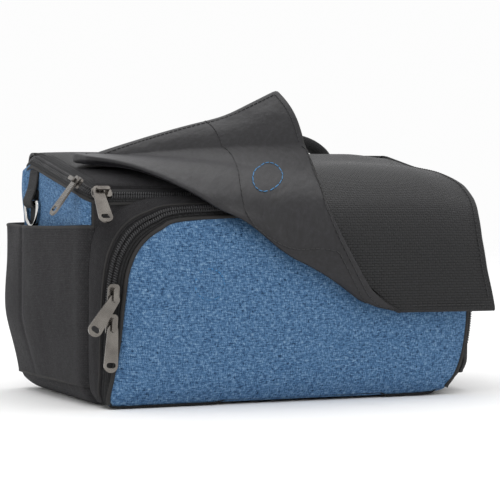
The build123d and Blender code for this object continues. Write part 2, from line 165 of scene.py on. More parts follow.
# ballistic nylon: thick glossy yarns in ribs across the flap
ribbedNylon = wovenCloth("ballisticNylonBlack", {
    "rough": 0.55, "sheen": 0.08, "sheenTint": "#C8C8D0", "gloss": 0.4, "turn": 0, "slub": 0.12,
    "weft": 3.6, "warp": 1.9, "streak": (0.3, 0.5, 1), "cross": (0.5, 0.5, 1), "grooveShade": 0.7,
    "relief": 0.9, "depth": 0.6, "slack": 0.1,
    "stops": [(0.3, "#0E0E0F"), (0.5, "#151516"), (0.7, "#212123")]})
# pack cloth: a fine plain weave, drawn at 1 mm so that it shows
packCloth = wovenCloth("packClothBlack", {
    "rough": 0.8, "sheen": 0.08, "sheenTint": "#B9B9C0", "gloss": 0.25, "turn": 0, "slub": 0.2,
    "weft": 1.6, "warp": 1.2, "streak": (0.2, 1.2, 1), "cross": (1.2, 0.2, 1), "grooveShade": 0.8,
    "relief": 0.8, "depth": 0.35, "slack": 0.35,
    "stops": [(0.35, "#212022"), (0.5, "#2B2A2C"), (0.65, "#383739")]})
# satin twill lining: a soft sheen and a slanted rib that is barely seen
satinLining = wovenCloth("satinTwillLining", {
    "rough": 0.46, "sheen": 0.06, "sheenTint": "#B8B8C4", "gloss": 0.4, "turn": 38, "slub": 0.1,
    "weft": 5.0, "warp": 0.8, "streak": (0.3, 0.3, 1), "cross": (0.3, 0.3, 1), "grooveShade": 0.25,
    "relief": 0.3, "depth": 0.15, "slack": 0.45,
    "stops": [(0.3, "#131214"), (0.5, "#19181B"), (0.7, "#222125")]})
# polyester webbing: strong ribs across the strap
ribWebbing = wovenCloth("polyesterWebbingBlack", {
    "rough": 0.75, "sheen": 0.08, "sheenTint": "#B0B0B8", "gloss": 0.25, "turn": 0, "slub": 0.05,
    "weft": 2.4, "warp": 1.5, "streak": (0.5, 0.5, 1), "cross": (0.5, 0.5, 1), "grooveShade": 0.7,
    "relief": 0.9, "depth": 0.5, "slack": 0.0,
    "stops": [(0.3, "#1E1E1F"), (0.5, "#262627"), (0.7, "#303031")]})


def plainFinish(name, colour, rough, metal=0.0, speckle=0.0, grain=900.0, relief=0.1, tint=None):
    made, tree, shader = newMaterial(name, Roughness=rough, Metallic=metal)
    where = addNode(tree, "ShaderNodeTexCoord").outputs["Object"]
    grit = addNode(tree, "ShaderNodeTexNoise", {"Scale": grain, "Detail": 3.0}, Vector=where)
    cloudy = addNode(tree, "ShaderNodeTexNoise", {"Scale": grain * 0.08, "Detail": 2.0}, Vector=where)
    clouded = ramp(tree, cloudy.outputs["Fac"], [(0.35, tint or colour), (0.65, colour)])
    tree.links.new(clouded, shader.inputs["Base Color"])
    worn = addNode(tree, "ShaderNodeMath", {"operation": "MULTIPLY_ADD", 1: speckle, 2: rough - speckle / 2},
                   in_0=grit.outputs["Fac"])
    tree.links.new(worn.outputs[0], shader.inputs["Roughness"])
    bump = addNode(tree, "ShaderNodeBump", {"Strength": relief, "Distance": 0.0002}, Height=grit.outputs["Fac"])
    tree.links.new(bump.outputs[0], shader.inputs["Normal"])
    return made


coilNylon = plainFinish("coilNylonGrey", "#3F3F41", 0.4, speckle=0.1, tint="#323234")
pipingCord = plainFinish("pipingClothDark", "#211F1F", 0.75, speckle=0.1, relief=0.5, tint="#191817")
blueThread = plainFinish("threadBlue", "#3F83B8", 0.6, relief=0.4, tint="#3D739E")
blackThread = plainFinish("threadBlack", "#2B2B2C", 0.6, relief=0.4)
darkNickel = plainFinish("nickelPlateDark", "#7D7974", 0.26, metal=1.0, speckle=0.14, relief=0.06, tint="#67635F")
brightNickel = plainFinish("nickelPlateBright", "#C9C8C6", 0.2, metal=1.0, speckle=0.08, relief=0.04)
foamBoard = plainFinish("closedCellFoamGrey", "#3A3A3C", 0.9, grain=500.0, relief=0.6)
magnetDisc = plainFinish("ferriteMagnet", "#4A4A4C", 0.6, speckle=0.2)
print("finishes made")


# helpers for sewn pieces: lengths inside them are in millimetres
def clear():
    bpy.ops.object.select_all(action="DESELECT")


def pick(piece):
    clear()
    piece.select_set(True)
    bpy.context.view_layer.objects.active = piece


def clothPanel(name, across, along, place, flat, turned=False):
    # a grid shaped point by point: place takes shares across and along, flat is its size for the weave
    clear()
    bpy.ops.mesh.primitive_grid_add(x_subdivisions=across, y_subdivisions=along, size=1, calc_uvs=True)
    made = bpy.context.object
    made.name = name
    weave = made.data.uv_layers.active.data
    for loop in made.data.loops:
        spot = made.data.vertices[loop.vertex_index].co
        u, v = spot.x + 0.5, spot.y + 0.5
        weave[loop.index].uv = flat(u, v) if callable(flat) else (u * flat[0] * mm, v * flat[1] * mm)
    for point in made.data.vertices:
        point.co = Vector(place(point.co.x + 0.5, point.co.y + 0.5)) * mm
    if turned:
        made.data.flip_normals()
    return made


def applied(piece, kind, **settings):
    pick(piece)
    made = piece.modifiers.new(kind.title(), kind)
    for key, value in settings.items():
        setattr(made, key, value)
    bpy.ops.object.modifier_apply(modifier=made.name)
    return piece


def thicken(piece, thick):  # the wall grows inwards
    return applied(piece, "SOLIDIFY", thickness=thick * mm, offset=-1)


def smooth(piece, level=1):
    if level:
        applied(piece, "SUBSURF", levels=level, render_levels=level)
    piece.data.polygons.foreach_set("use_smooth", [True] * len(piece.data.polygons))
    return piece


def joined(name, pieces, merge=0.0):
    clear()
    for piece in pieces:
        piece.select_set(True)
    bpy.context.view_layer.objects.active = pieces[0]
    bpy.ops.object.join()
    made = bpy.context.object
    made.name = name
    if merge:
        bpy.ops.object.mode_set(mode="EDIT")
        bpy.ops.mesh.select_all(action="SELECT")
        bpy.ops.mesh.remove_doubles(threshold=merge * mm)
        bpy.ops.object.mode_set(mode="OBJECT")
    return made


def dress(piece, body, slot, *finishes):
    for finish in finishes:
        piece.data.materials.append(finish)
    if body:
        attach(piece, body)
    return piece


def spaced(path, step):  # points at an even step along a line of points
    out, carry = [Vector(path[0])], 0.0
    for a, b in zip(path, path[1:]):
        a, b = Vector(a), Vector(b)
        gap = (b - a).length
        at = step - carry
        while at <= gap and gap > 0:
            out.append(a.lerp(b, at / gap))
            at += step
        carry = gap - (at - step)
    return out


def lineOf(name, runs, radius, sides=1):
    # thin round thread or cord along one or more runs of points
    bent = bpy.data.curves.new(name, "CURVE")
    bent.dimensions = "3D"
    bent.bevel_depth, bent.bevel_resolution = radius * mm, sides
    bent.use_fill_caps = True
    for run in runs:
        spline = bent.splines.new("POLY")
        spline.points.add(len(run) - 1)
        for point, spot in zip(spline.points, run):
            point.co = (*(Vector(spot) * mm), 1)
    made = bpy.data.objects.new(name, bent)
    bpy.context.scene.collection.objects.link(made)
    pick(made)
    bpy.ops.object.convert(target="MESH")
    made = bpy.context.object
    return smooth(made, 0)


sewing = {"stitch": 2.6, "pitch": 3.6, "thread": 0.32}


def stitches(name, path, body, slot, finish, lift=None, thread=None):
    points = spaced(path, sewing["pitch"])
    runs = []
    for a, b in zip(points, points[1:]):
        way = (b - a).normalized() * sewing["stitch"]
        up = lift or Vector((0, 0, 0))
        runs.append([a - up * 0.3, a + way * 0.25 + up * 0.2, a + way * 0.75 + up * 0.2, a + way - up * 0.3])
    return dress(lineOf(name, runs, thread or sewing["thread"], 1), body, slot, finish)


zipCoil = {"wide": 2.3, "high": 1.5, "pitch": 1.7, "wire": 0.42, "steps": 6}


def coil(name, path, ups, body):
    # one half of a coil zip: a flattened spring along the path
    points = spaced(path, zipCoil["pitch"] / zipCoil["steps"])
    run = []
    for i, spot in enumerate(points):
        ahead = points[min(i + 1, len(points) - 1)] - points[max(i - 1, 0)]
        up = ups(spot).normalized()
        side = ahead.normalized().cross(up)
        turn = 2 * math.pi * i / zipCoil["steps"]
        run.append(spot + side * (math.cos(turn) * zipCoil["wide"] / 2) + up * (math.sin(turn) * zipCoil["high"] / 2))
    return dress(lineOf(name, [run], zipCoil["wire"], 0), body, "zip_tape", coilNylon)


def ease(t):
    t = min(max(t, 0.0), 1.0)
    return t * t * (3 - 2 * t)


def bend(p0, p1, p2, p3, f):  # smooth curve from p1 to p2
    return 0.5 * (2 * p1 + (p2 - p0) * f + (2 * p0 - 5 * p1 + 4 * p2 - p3) * f * f
                  + (3 * p1 - p0 - 3 * p2 + p3) * f ** 3)


def throughPoints(points, t):  # smooth line through points, t from 0 to 1
    spans = len(points) - 1
    i = min(int(t * spans), spans - 1)
    f = t * spans - i
    p1, p2 = Vector(points[i]), Vector(points[i + 1])
    p0 = Vector(points[i - 1]) if i else p1 * 2 - p2
    p3 = Vector(points[i + 2]) if i + 2 <= spans else p2 * 2 - p1
    return bend(p0, p1, p2, p3, f)


def sideLine(points, t):  # the same through y and z points
    return throughPoints([(0, y, z) for y, z in points], t)


def frontLine(points, t):  # the same through x and z points
    return throughPoints([(x, 0, z) for x, z in points], t)


def softBlock(name, size, cuts):  # a finely cut cube, ready to be shaped into a pad
    clear()
    bpy.ops.mesh.primitive_cube_add(size=size)
    made = bpy.context.object
    made.name = name
    bpy.ops.object.mode_set(mode="EDIT")
    bpy.ops.mesh.select_all(action="SELECT")
    bpy.ops.mesh.subdivide(number_cuts=cuts)
    bpy.ops.object.mode_set(mode="OBJECT")
    return made


def boxMapped(piece):  # UV map in metres from the nearest of six sides
    bpy.ops.object.mode_set(mode="EDIT")
    bpy.ops.uv.cube_project(cube_size=1.0)
    bpy.ops.object.mode_set(mode="OBJECT")
    return smooth(piece, 0)


# the shell: rim is y and z of the upper edge, slim and lowSlim draw in the far end
bag = {"half": 148.0, "front": -72.0, "back": 80.0, "corner": 14.0, "foot": 12.0,
       "rim": [(-110, 118.5), (-62, 145), (54, 167), (110, 142.7)], "rimSoft": 7.0, "footSeam": 13.0,
       "slim": 5.0, "lowSlim": 11.0}
girth = [("side", 62), ("arc", 22), ("front", 268), ("arc", 22), ("side", 124), ("arc", 22),
         ("back", 268), ("arc", 22), ("side", 62)]
fullGirth = sum(length for _, length in girth)


def outline(t, out=0.0):
    # place and outward direction at t millimetres round the bag, from the middle of its left side
    t %= fullGirth
    h, c, front, back = bag["half"], bag["corner"], bag["front"], bag["back"]
    starts = [((-h, (front + back) / 2), 270), ((-h, front + c), 180), ((-h + c, front), 0), ((h - c, front), 270),
              ((h, front + c), 90), ((h, back - c), 0), ((h - c, back), 180), ((-h + c, back), 90),
              ((-h, back - c), 270)]
    for (kind, length), ((x, y), way) in zip(girth, starts):
        if t <= length:
            break
        t -= length
    way = math.radians(way)
    if kind != "arc":
        x, y = x + math.cos(way) * t, y + math.sin(way) * t
        nx, ny = math.sin(way), -math.cos(way)
    else:
        cx = math.copysign(h - c, x)
        cy = front + c if y < 0 else back - c
        angle = way + math.radians(90) * t / length
        nx, ny = math.cos(angle), math.sin(angle)
        x, y = cx + c * nx, cy + c * ny
    if x > 0:  # the far end stands a little narrower
        x -= bag["slim"] * x / h
    return x + nx * out, y + ny * out, nx, ny


def rimHeight(y):
    def bare(y):
        for (a, za), (b, zb) in zip(bag["rim"], bag["rim"][1:]):
            if y <= b or b == bag["rim"][-1][0]:
                return za + (zb - za) * (y - a) / (b - a)
    return sum(bare(y + k * bag["rimSoft"]) for k in (-1, -0.5, 0, 0.5, 1)) / 5


def shell(t, z, out=0.0):
    foot = bag["foot"]
    inset = foot - math.sqrt(max(foot ** 2 - (foot - z) ** 2, 0)) if z < foot else 0
    x, y, nx, ny = outline(t, out - inset)
    return Vector((drawnIn(x, z), y, z))


def drawnIn(x, z):  # the far lower corner is soft and drawn in
    return x - max(x, 0) / bag["half"] * bag["lowSlim"] * ease((22 - z) / 22)


def sag(t, z):  # empty cloth walls belly out a little between their seams
    side = abs(outline(t)[2])
    belly = math.sin(math.pi * min(max(z / 150, 0), 1))
    ripple = noise.noise(Vector((t * 0.02, z * 0.03, 1.7))) * 1.2
    y = outline(t)[1]
    shoulder = 4.0 * math.exp(-((y - 70) / 11) ** 2) * math.exp(-((z - 148) / 22) ** 2)
    heldFlat = 1 - 0.9 * side * math.exp(-((y - 46) / 18) ** 2) * math.exp(-((z - 135) / 30) ** 2)
    return (belly * (1.6 * side + 1.2 * (1 - side)) + ripple * belly + shoulder) * heldFlat


walls = {  # from and to round the bag, cloth, rows of weave and the foam behind
    "side_panel_left": (-71, 73, "blue_cloth", blueMelange, 36, "foam_left"),
    "front_panel": (73, 363, "black_nylon", packCloth, 60, "foam_front"),
    "side_panel_right": (363, 507, "blue_cloth", blueMelange, 36, "foam_right"),
    "back_panel": (507, 801, "black_nylon", packCloth, 60, "foam_back")}
for node, (start, end, slot, finish, across, foam) in walls.items():
    def wallPoint(u, v, start=start, end=end):
        t = start + (end - start) * u
        top = rimHeight(outline(t)[1]) - 1.0
        z = bag["footSeam"] + (top - bag["footSeam"]) * v
        return shell(t, z, sag(t, z))
    wall = clothPanel(node + "Cloth", across, 30, wallPoint, (end - start, 150), turned=True)
    thicken(smooth(wall, 1), 1.6)
    dress(wall, "bag_body", slot, finish)
    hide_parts(node, foam)
print("walls made")

sidePocket = {"start": -80.0, "end": 75.0, "hem": 120.5, "foot": 13.0, "belly": 13.4, "pleat": -26, "lean": 0.12}


def pleatLine(z):  # the pleat leans towards the back near the foot
    return sidePocket["pleat"] + sidePocket["lean"] * max(60 - z, 0)


def pouchBelly(t, z):
    up = 0.3 + 0.7 * ease((z - 4) / 60) - 0.06 * ease((z - 80) / 40)
    fromEnd = sidePocket["end"] - t
    rear = ease((t - sidePocket["start"] + 4) / 24)
    pleat = 1.6 * math.exp(-((t - pleatLine(z)) / 2.2) ** 2)
    creases = noise.noise(Vector((t * 0.035, z * 0.022, 7.0))) * 1.1 * up
    full = sidePocket["belly"] * up * ease(fromEnd / 100) * rear - pleat * up + creases * ease(fromEnd / 30)
    return max(full, 0.2) + 1.4 * ease(fromEnd / 6) + 0.3


def besidePocket(t, z):  # how far a side pocket stands out at t round the bag
    near = t if t < fullGirth / 2 else t - fullGirth
    for along in (near, fullGirth / 2 - t):
        if sidePocket["start"] < along < sidePocket["end"]:
            return pouchBelly(along, z)
    return 0.0


clear()
bpy.ops.mesh.primitive_cube_add(size=1, location=(0, (bag["front"] + bag["back"]) / 2 * mm, 20 * mm),
                                scale=(bag["half"] * 2 * mm, (bag["back"] - bag["front"]) * mm, 40 * mm))
baseTray = bpy.context.object
baseTray.name = "baseTray"
bpy.ops.object.transform_apply(location=True, rotation=False, scale=True)
bpy.ops.object.mode_set(mode="EDIT")
bpy.ops.mesh.select_mode(type="EDGE")
bpy.ops.mesh.select_all(action="DESELECT")
bpy.ops.object.mode_set(mode="OBJECT")
for edge in baseTray.data.edges:
    a, b = (baseTray.data.vertices[i].co for i in edge.vertices)
    edge.select = abs(a.z - b.z) > 0.01
bpy.ops.object.mode_set(mode="EDIT")
bpy.ops.mesh.bevel(offset=bag["corner"] * mm, segments=6, affect="EDGES")
bpy.ops.mesh.select_all(action="DESELECT")
bpy.ops.object.mode_set(mode="OBJECT")
for edge in baseTray.data.edges:
    edge.select = all(baseTray.data.vertices[i].co.z < 0.001 for i in edge.vertices)
bpy.ops.object.mode_set(mode="EDIT")
bpy.ops.mesh.bevel(offset=bag["foot"] * mm, segments=6, affect="EDGES")
bpy.ops.mesh.select_all(action="SELECT")
bpy.ops.mesh.bisect(plane_co=(0, 0, 0.0135), plane_no=(0, 0, 1), clear_outer=True)
bpy.ops.mesh.select_all(action="SELECT")
bpy.ops.uv.cube_project(cube_size=1.0)
bpy.ops.mesh.select_mode(type="VERT")
bpy.ops.object.mode_set(mode="OBJECT")
thicken(baseTray, 1.8)
smooth(baseTray, 0)
dress(baseTray, "bag_body", "black_nylon", packCloth)
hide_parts("base_panel", "foam_base")
for corner in baseTray.data.vertices:
    x, z = corner.co.x / mm, corner.co.z / mm
    x = drawnIn(x - max(x, 0) / bag["half"] * bag["slim"], z)
    if abs(x) > 100:
        x += math.copysign(pouchBelly(4 - corner.co.y / mm, 13) * ease(z / 13) * 0.9, x)
    corner.co.x = x * mm
seamPath = [shell(t, bag["footSeam"] + 0.6, 1.0 + besidePocket(t, 13)) for t in range(0, int(fullGirth) + 6, 6)]
dress(lineOf("baseSeamCord", [seamPath], 1.1, 2), "bag_body", "black_nylon", pipingCord)
for name, t in (("seamFrontLeft", 74), ("seamFrontRight", 362), ("seamBackLeft", -71), ("seamBackRight", 507)):
    top = rimHeight(outline(t)[1]) - 3
    run = [shell(t, z, sag(t, z) + 0.5) for z in [14 + (top - 14) * k / 24 for k in range(25)]]
    dress(lineOf(name, [run], 1.2, 2), "bag_body", "black_nylon", pipingCord)
print("base and seams made")

# front pocket: gusset, zip and the crowned blue panel
pocket = {
    # x and z of three outlines that share their corners: sewn to the body, zip, and edge of the blue panel
    "rear": [(-30, 3), (-100, 3), (-136, 3), (-146, 9), (-148, 25), (-148, 60), (-147.5, 95), (-144, 117),
             (-134, 131), (-116, 139), (-90, 142), (0, 143), (90, 142), (113, 139), (129, 131), (137, 117),
             (140, 95), (139.5, 60), (136, 34), (130, 17), (122, 7), (111, 3), (60, 3), (30, 3)],
    "zip": [(-30, 2), (-100, 2), (-137, 2.2), (-143, 8), (-142, 25), (-140.5, 55), (-138.5, 80), (-134, 100),
            (-124, 116.5), (-108, 126.5), (-85, 132), (0, 134), (85, 132), (106, 127), (119, 117), (128, 102),
            (133, 84), (134, 60), (131, 36), (125.5, 20), (118, 8.5), (108, 3.5), (60, 2), (30, 2)],
    "edge": [(-30, 1.5), (-100, 1.5), (-136, 1.6), (-141.5, 5), (-138.5, 20), (-134, 42), (-130.5, 70),
             (-127, 92), (-119, 108), (-105, 119), (-84, 125.5), (0, 128), (84, 125.5), (103, 120), (115, 110),
             (124, 96), (128.5, 80), (129.5, 58), (127, 36), (122, 19), (114.5, 8), (105, 2.5), (60, 1.5),
             (30, 1.5)],
    "rearDepth": -71.5, "zipDepth": -88.5, "edgeDepth": -92.5, "crown": 10.0}


def loopPoint(points, s):  # smooth closed line through x and z points
    spans = len(points)
    i = int(s * spans) % spans
    f = s * spans - int(s * spans)
    near = [points[(i + k) % spans] for k in (-1, 0, 1, 2)]
    return bend(*(Vector((x, 0, z)) for x, z in near), f)


def pocketSpot(s, w):
    # w 0 at the seam with the body, 1 on the zip, 2 at the panel's edge
    rear, chain, edge = (loopPoint(pocket[name], s) for name in ("rear", "zip", "edge"))
    rear.y, chain.y, edge.y = pocket["rearDepth"], pocket["zipDepth"], pocket["edgeDepth"]
    if w <= 1:
        out = Vector((rear.x, 0, rear.z - 66)).normalized()
        return rear.lerp(chain, w) + (out * 1.6 + Vector((0, -0.8, 0))) * math.sin(math.pi * w)
    return chain.lerp(edge, w - 1)


def pocketFace(s, w=1.2):
    ahead = pocketSpot((s + 0.004) % 1, w) - pocketSpot((s - 0.004) % 1, w)
    face = ahead.cross(pocketSpot(s, w + 0.3) - pocketSpot(s, w - 0.3)).normalized()
    return face if face.y < 0 else -face


def gussetPoint(u, v):
    slack = noise.noise(Vector((u * 14, v * 3, 4.2))) * 0.8 * math.sin(math.pi * v)
    return pocketSpot(u % 1, v * 0.8) + pocketFace(u % 1, 0.5) * slack


gusset = clothPanel("pocketGussetCloth", 192, 12, gussetPoint, (820, 26), turned=True)
gusset = joined("pocketGussetCloth", [gusset], 0.05)
thicken(smooth(gusset, 1), 1.4)
dress(gusset, "bag_body", "black_nylon", packCloth)
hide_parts("pocket_gusset")
tape = clothPanel("pocketZipTape", 192, 5, lambda u, v: (
    pocketSpot(u % 1, 0.74 + 1.28 * v) - pocketFace(u % 1) * (0.4 + 1.2 * abs(v - 0.3))), (800, 9), turned=True)
tape = joined("pocketZipTape", [tape], 0.05)
thicken(tape, 0.9)
smooth(tape, 0)
dress(tape, "bag_body", "zip_tape", ribWebbing)
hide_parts("pocket_zip_outer", "pocket_zip_inner", "pocket_foot")
zipShares = [(5.0 + 13.0 * k / 400) / 24 for k in range(401)]
for name, w in (("pocketCoilOuter", 0.94), ("pocketCoilInner", 1.2)):
    run = [pocketSpot(s, w) + pocketFace(s) * 0.7 for s in zipShares]
    coil(name, run, lambda spot: pocketFace(min(zipShares, key=lambda s: (pocketSpot(s, 1) - spot).length_squared)),
         "bag_body")
dress(lineOf("pocketPiping", [[pocketSpot((2.6 + 17.8 * k / 240) / 24, 1.97) for k in range(241)]], 1.5, 2), "bag_body",
      "black_nylon", pipingCord)
dress(lineOf("gussetPiping", [[pocketSpot((3 + 17 * k / 240) / 24, 0.72) for k in range(241)]], 0.8, 2),
      "bag_body", "black_nylon", pipingCord)

panelMiddle = Vector((0, 0, 66))


def panelPoint(u, v):
    # u goes round the panel, v from its edge to its middle
    rim = pocketSpot(u % 1, 2.06)
    k = 1 - v
    point = Vector((rim.x * k, 0, panelMiddle.z + (rim.z - panelMiddle.z) * k))
    edge = 1 - (1 - min(v * 2.4, 1)) ** 2.6
    belly = math.cos((point.z - 52) / 160 * math.pi / 2) * (0.72 + 0.28 * math.cos(point.x / 150 * math.pi / 2))
    y = pocket["edgeDepth"] - 0.6 - pocket["crown"] * edge * belly
    corner = math.exp(-((point.x + 122) / 24) ** 2) * math.exp(-((point.z - 16) / 18) ** 2)
    y += 1.7 * corner * math.sin((point.x + point.z * 0.4) * 0.3) * edge
    y += noise.noise(Vector((point.x * 0.014, 3.0, point.z * 0.02))) * 2.0 * edge
    y += noise.noise(Vector((point.x * 0.05, 9.0, point.z * 0.04))) * 0.5 * edge
    y += 2.0 * ease((14 - point.z) / 14)
    point.y = y
    return point


def panelWeave(u, v):
    spot = panelPoint(u, v)
    return spot.x * mm, spot.z * mm


panel = clothPanel("pocketPanelCloth", 192, 34, panelPoint, panelWeave, turned=True)
panel = joined("pocketPanelCloth", [panel], 0.05)
thicken(smooth(panel, 1), 3.0)
dress(panel, "bag_body", "blue_cloth", blueMelange)
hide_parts("pocket_panel")
print("front pocket made")


# an open pocket on each side, cut once and worn on both
def pocketCloth(sideName, sign):
    def point(u, v):
        t = sidePocket["start"] + (sidePocket["end"] - sidePocket["start"]) * u
        hem = sidePocket["hem"] - 2.5 * math.sin(math.pi * u) * 0.6
        z = sidePocket["foot"] + (hem - sidePocket["foot"]) * v
        spot = shell(t, z, pouchBelly(t, z) + sag(t, z))
        x = -spot.x
        return spot.x if sign > 0 else drawnIn(x - x / bag["half"] * bag["slim"], z), spot.y, spot.z
    made = clothPanel("sidePocketCloth" + sideName, 52, 36, point, (155, 108), turned=sign > 0)
    thicken(smooth(made, 1), 1.3)
    dress(made, "bag_body", "black_nylon", packCloth)
    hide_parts("side_pocket_" + sideName.lower())
    hemRun = [point(k / 60, 1.0) for k in range(61)]
    dress(lineOf("sidePocketHem" + sideName, [hemRun], 1.5, 2), "bag_body", "black_nylon", pipingCord)
    sewn = [Vector(point(k / 60, 0.915)) + Vector((-0.2 * sign, 0, 0)) for k in range(61)]
    stitches("sidePocketHemStitches" + sideName, sewn, "bag_body", "black_nylon", blackThread)
    pleatRun = [Vector(point((pleatLine(z) - sidePocket["start"]) / (sidePocket["end"] - sidePocket["start"]),
                             (z - sidePocket["foot"]) / (sidePocket["hem"] - sidePocket["foot"])))
                for z in range(16, 119, 3)]
    dress(lineOf("sidePocketPleat" + sideName, [pleatRun], 0.6, 1), "bag_body", "black_nylon", pipingCord)


pocketCloth("Left", 1)
pocketCloth("Right", -1)
print("side pockets made")

# webbing tabs that hold the strap rings: x and z of the strap and of its sewn end
ringTab = {"line": [(-149.3, 161), (-150.0, 156), (-151.4, 148), (-153.4, 142), (-155.0, 138), (-154.3, 134.6),
                    (-151.9, 133.2), (-149.7, 134.6), (-149.2, 139), (-149.2, 146)],
           "under": [(-149.0, 140), (-149.4, 128), (-149.6, 118), (-149.8, 104)], "from": 35.0, "wide": 22.0}
for side, sign in (("Left", 1), ("Right", -1)):
    parts = []
    for key in ("line", "under"):
        def tabPoint(u, v, key=key, sign=sign):
            spot = frontLine(ringTab[key], u)
            return sign * spot.x, ringTab["from"] + ringTab["wide"] * v, spot.z
        strip = clothPanel("ringTab" + side + key, 30, 6, tabPoint, (60 if key == "line" else 36, 22))
        applied(strip, "SOLIDIFY", thickness=1.5 * mm, offset=0)
        parts.append(smooth(strip, 1))
    tabCloth = joined("ringTab" + side, parts)
    dress(tabCloth, "bag_body", "webbing", ribWebbing)
    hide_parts("ring_tab_" + side.lower())
    for z in (158.6, 145.5):
        row = [(sign * -(150.9 if z > 150 else 152.9), 36.5 + k * 0.5, z) for k in range(39)]
        stitches("ringTabStitches%s%d" % (side, z), row, "bag_body", "webbing", blackThread, thread=0.3)

# the lid's zip runs round the rim from side to side
lidZip = {"start": -62.0, "out": 0.2, "lift": 2.4, "frontLift": 2.4}


def chainSpot(t, across=0.0, up=0.0):
    # place beside the zip's middle: across is up and inwards, up is away from the bag
    x, y, nx, ny = outline(t, lidZip["out"])
    out = Vector((nx, ny, 0))
    face = (out * 0.78 + Vector((0, 0, 0.62))).normalized()
    over = (Vector((0, 0, 0.78)) - out * 0.62).normalized()
    return Vector((x, y, rimHeight(y) + lidZip["lift"])) + over * across + face * up


def chainFace(spot):
    if abs(spot.x) > 140 and spot.y > -64:
        out = Vector((math.copysign(1, spot.x), 0, 0))
    else:
        out = Vector((spot.x / 500 if abs(spot.x) < 130 else math.copysign(0.6, spot.x), -1, 0)).normalized()
    return out * 0.78 + Vector((0, 0, 0.62))


zipRun = [lidZip["start"] + (436 - 2 * lidZip["start"]) * k / 380 for k in range(381)]
lowerTape = clothPanel("lidZipTapeLower", 150, 4, lambda u, v: (
    chainSpot(zipRun[0] + (zipRun[-1] - zipRun[0]) * u, -0.3 - 5.2 * v, -0.5 - 2.6 * v * v)), (560, 6))
thicken(lowerTape, 0.8)
smooth(lowerTape, 0)
dress(lowerTape, "bag_body", "zip_tape", ribWebbing)
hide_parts("lid_zip_lower")
upperTape = clothPanel("lidZipTapeUpper", 150, 4, lambda u, v: (
    chainSpot(zipRun[0] + (zipRun[-1] - zipRun[0]) * u, 0.3 + 8.2 * v, -0.5 - 4.2 * v * v)), (560, 8), turned=True)
thicken(upperTape, 0.8)
smooth(upperTape, 0)
dress(upperTape, "lid", "zip_tape", ribWebbing)
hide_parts("lid_zip_upper")
coil("lidCoilLower", [chainSpot(t, -1.2, 0.1) for t in zipRun], chainFace, "bag_body")
coil("lidCoilUpper", [chainSpot(t, 1.2, 0.1) for t in zipRun], chainFace, "lid")
dress(lineOf("rimPiping", [[chainSpot(t, -5.6, -2.4) for t in zipRun]], 1.3, 2), "bag_body", "black_nylon", pipingCord)
print("lid zip made")

# the lid is one soft pad: top is y and z of its crown
lid = {"inset": 7.0, "front": -65.0, "back": 71.0, "edgeLift": 5.2, "roll": 13.0,
       "top": [(-65, 150.0), (-50, 154.8), (-31, 159.4), (0, 163.0), (30, 166.8), (50, 169.2), (62, 169), (71, 166)]}


def lidTop(y):
    for (a, za), (b, zb) in zip(lid["top"], lid["top"][1:]):
        if y <= b:
            return za + (zb - za) * ease((y - a) / (b - a)) * 0.35 + (zb - za) * 0.65 * (y - a) / (b - a)
    return lid["top"][-1][1]


def lidPoint(spot):
    x = spot.x * 2 * (bag["half"] - lid["inset"])
    y = lid["front"] + (lid["back"] - lid["front"]) * (spot.y + 0.5)
    near = min(bag["half"] - lid["inset"] - abs(x), y - lid["front"], (lid["back"] - y) * 2.0)
    edge = rimHeight(y) + lid["edgeLift"]
    rise = math.sqrt(max(1 - (1 - min(near / lid["roll"], 1)) ** 2, 0))
    slack = noise.noise(Vector((x * 0.02, y * 0.03, 2.0))) * 1.0
    high = max(edge + (lidTop(y) - edge) * rise + slack * rise, edge - 2)
    low = rimHeight(y) + 2.6
    return Vector((x, y, low + (high - low) * (spot.z + 0.5))) * mm


lidPad = softBlock("lidPad", 1, 44)
for point in lidPad.data.vertices:
    edgeward = point.co.copy()
    edgeward.x = math.sin(edgeward.x * math.pi) / 2 * 0.5 + edgeward.x * 0.5
    point.co = lidPoint(edgeward)
dress(boxMapped(lidPad), "lid", "black_nylon", packCloth)
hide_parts("lid_panel", "lid_foam", "lid_lining")
lidPad.data.materials.append(satinLining)
for face in lidPad.data.polygons:  # the underside is lined
    face.material_index = 1 if face.normal.z < -0.5 else 0
hingeLine = [(81.0, 146), (81.0, 154), (79.6, 158.5), (76, 161.8), (72, 164.2), (68.5, 165.2)]
hingeCloth = clothPanel("hingeCloth", 60, 12, lambda u, v: (-125 + 250 * u, *sideLine(hingeLine, v).yz),
                        (250, 24), turned=True)
thicken(smooth(hingeCloth, 1), 1.4)
dress(hingeCloth, None, "black_nylon", packCloth)
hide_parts("hinge_strip")
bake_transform(hingeCloth)
print("lid made")

# lined compartment and its two padded dividers
lining = {"inset": 8.6, "floor": 9.6, "rim": 0.8}


def liningPoint(u, v):
    t = u * fullGirth
    rim = rimHeight(outline(t)[1]) + lining["rim"]
    z = lining["floor"] + max(v - 0.35, 0) / 0.65 * (rim - lining["floor"])
    x, y, nx, ny = outline(t, -lining["inset"])
    low = ease((26 - z) / 20)
    x -= max(x, 0) / bag["half"] * bag["lowSlim"] * 0.5 * low
    k = min(v / 0.35, 1)
    slack = noise.noise(Vector((t * 0.02, z * 0.03, 11.0))) * 0.7 * ease((v - 0.36) / 0.1) * ease((1 - v) / 0.1)
    return x * k + nx * slack, 4 + (y - 4) * k + ny * slack, z


